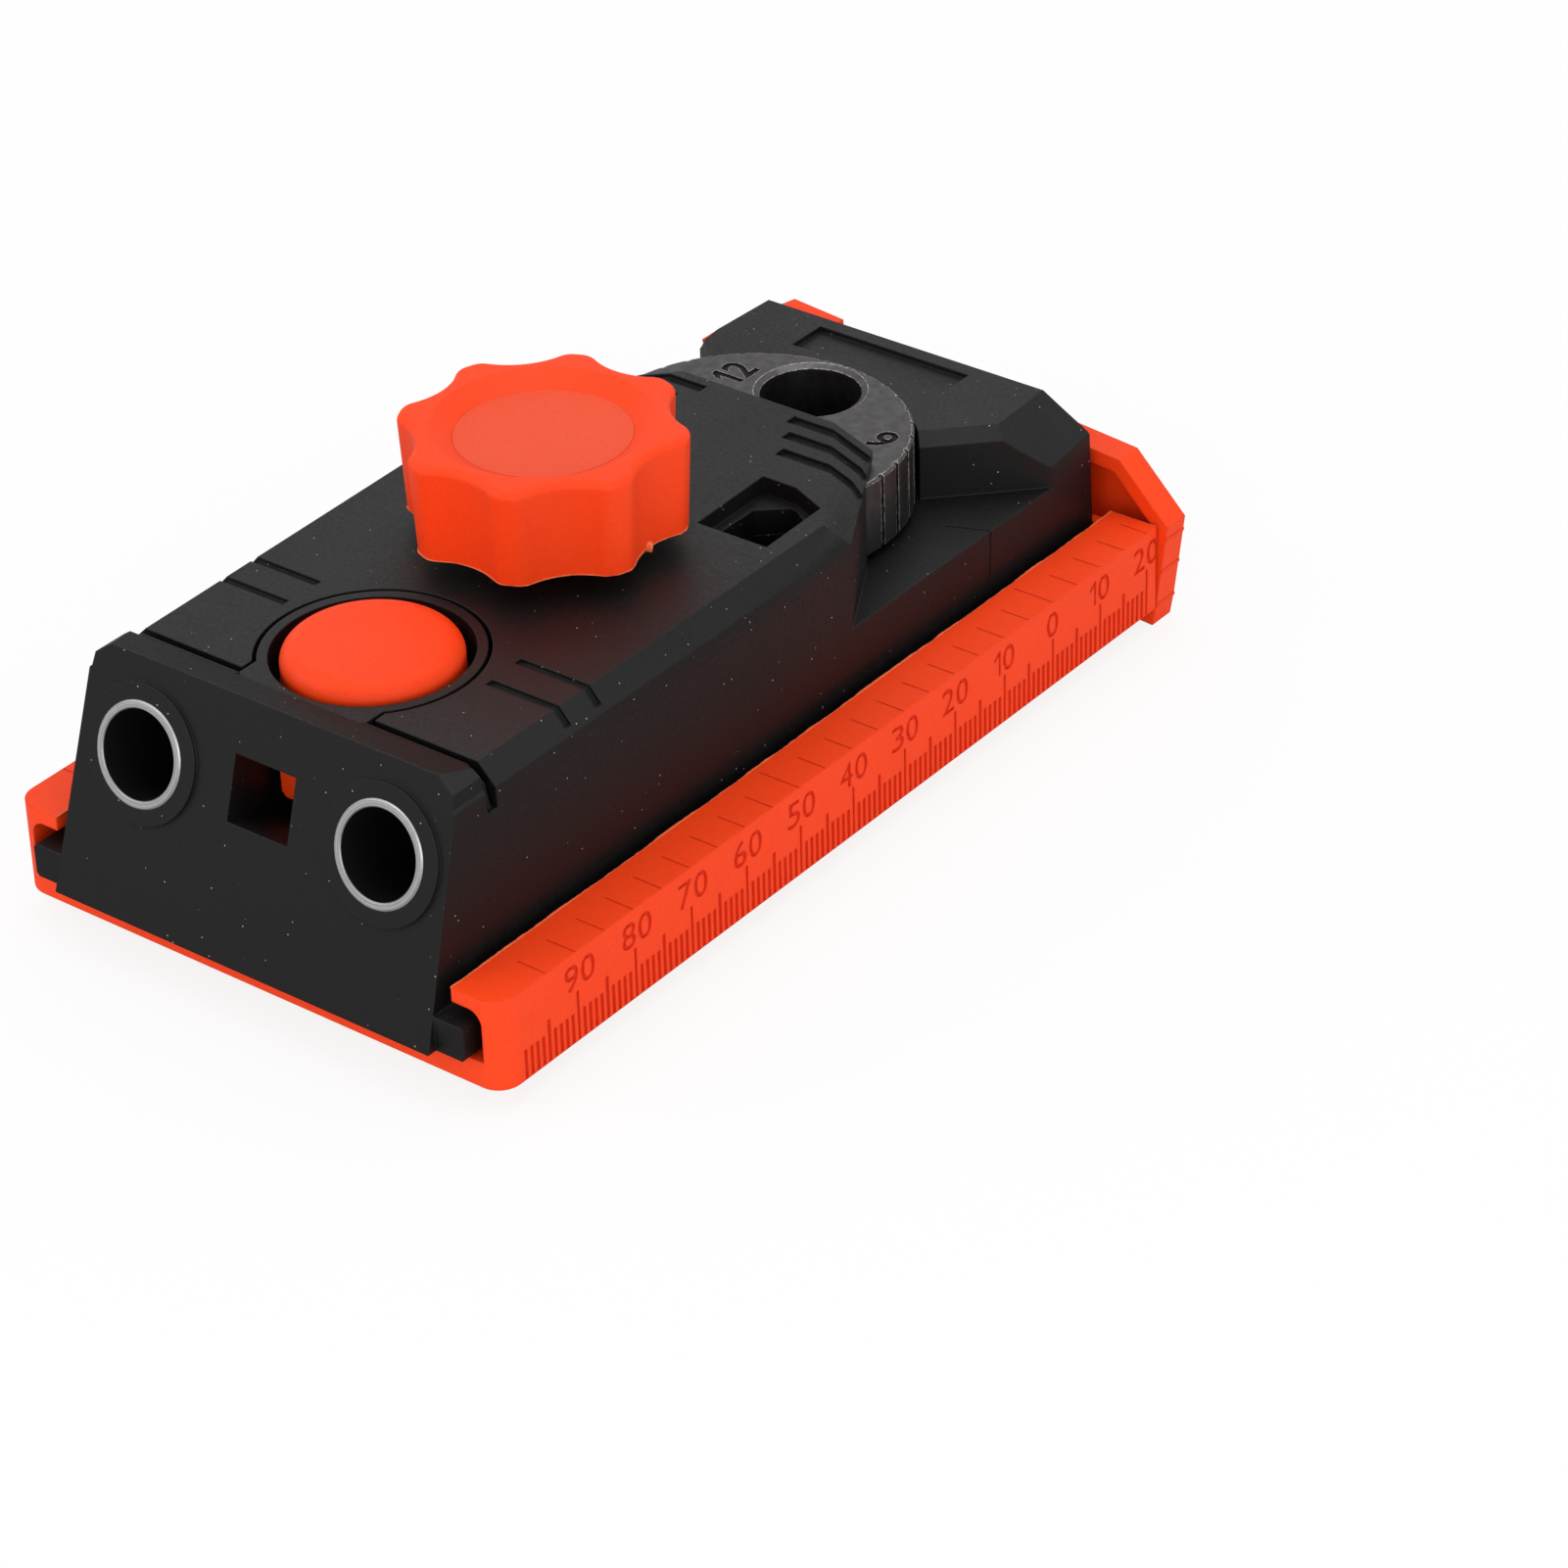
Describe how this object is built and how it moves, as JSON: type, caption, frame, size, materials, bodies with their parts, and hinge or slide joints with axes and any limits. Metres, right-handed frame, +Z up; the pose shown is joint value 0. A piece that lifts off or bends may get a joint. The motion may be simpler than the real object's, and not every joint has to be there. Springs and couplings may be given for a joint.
{
  "type": "drill guide",
  "caption": "Drilling jig with a slanted twin-sleeve carriage, a turret of guide bores and a clamp knob, sliding on a ruled base with a turning end stop.",
  "frame": {"origin": "centre of the turret's working bore, at the top face of the turret", "axes": "+Z up out of the working bore, +Y along the base towards the end stop, +X to the right rail seen from the front"},
  "size_m": [0.0724, 0.1346, 0.0502],
  "materials": {
    "orange_plastic": "satin moulded",
    "black_plastic": "fine moulded texture",
    "steel": "turned",
    "spring_steel": "drawn wire",
    "zinc_screw": "zinc plated"
  },
  "bodies": {
    "base": {"ruler_base": "orange_plastic", "stop_screw": "zinc_screw", "stop_washer": "zinc_screw"},
    "stop": {"end_stop": "orange_plastic"},
    "carriage": {"carriage_housing": "black_plastic", "top_cover": "black_plastic", "cover_screws": "zinc_screw", "left_drill_sleeve": "steel", "right_drill_sleeve": "steel", "button_spring": "spring_steel", "turret_pivot": "zinc_screw", "turret_washer": "spring_steel", "detent_ball": "steel", "detent_spring": "spring_steel", "clamp_nut": "zinc_screw"},
    "button": {"release_button": "orange_plastic"},
    "turret": {"bit_turret": "steel"},
    "shoe": {"clamp_shoe": "zinc_screw"},
    "knob": {"clamp_knob": "orange_plastic", "knob_cap": "orange_plastic", "clamp_screw": "zinc_screw", "shoe_clip": "spring_steel"}
  },
  "joints": [
    {"name": "stop_swing", "type": "hinge", "parent": "base", "child": "stop", "pos_m": [0, 0.0245, -0.0236], "axis": [0, 1, 0], "continuous": true},
    {"name": "carriage_slide", "type": "slide", "parent": "base", "child": "carriage", "axis": [0, -1, 0], "range_m": [0, 0.05]},
    {"name": "button_press", "type": "slide", "parent": "carriage", "child": "button", "axis": [0, 0, -1], "range_m": [0, 0.002], "stiffness_N_per_m": 1200, "springref_m": -0.002, "deforming": ["button_spring"]},
    {"name": "turret_spin", "type": "hinge", "parent": "carriage", "child": "turret", "pos_m": [0, -0.0122, -0.005], "axis": [0, 0, 1], "continuous": true},
    {"name": "clamp_rise", "type": "slide", "parent": "carriage", "child": "shoe", "axis": [0, 0, 1], "range_m": [0, 0.0025]},
    {"name": "knob_turn", "type": "hinge", "parent": "shoe", "child": "knob", "pos_m": [0, -0.0495, 0.01], "axis": [0, 0, 1], "range_deg": [0, 720]}
  ],
  "couplings": [
    {"joint": "knob_turn", "follows": "clamp_rise", "rad_per_m": 5026.5}
  ]
}
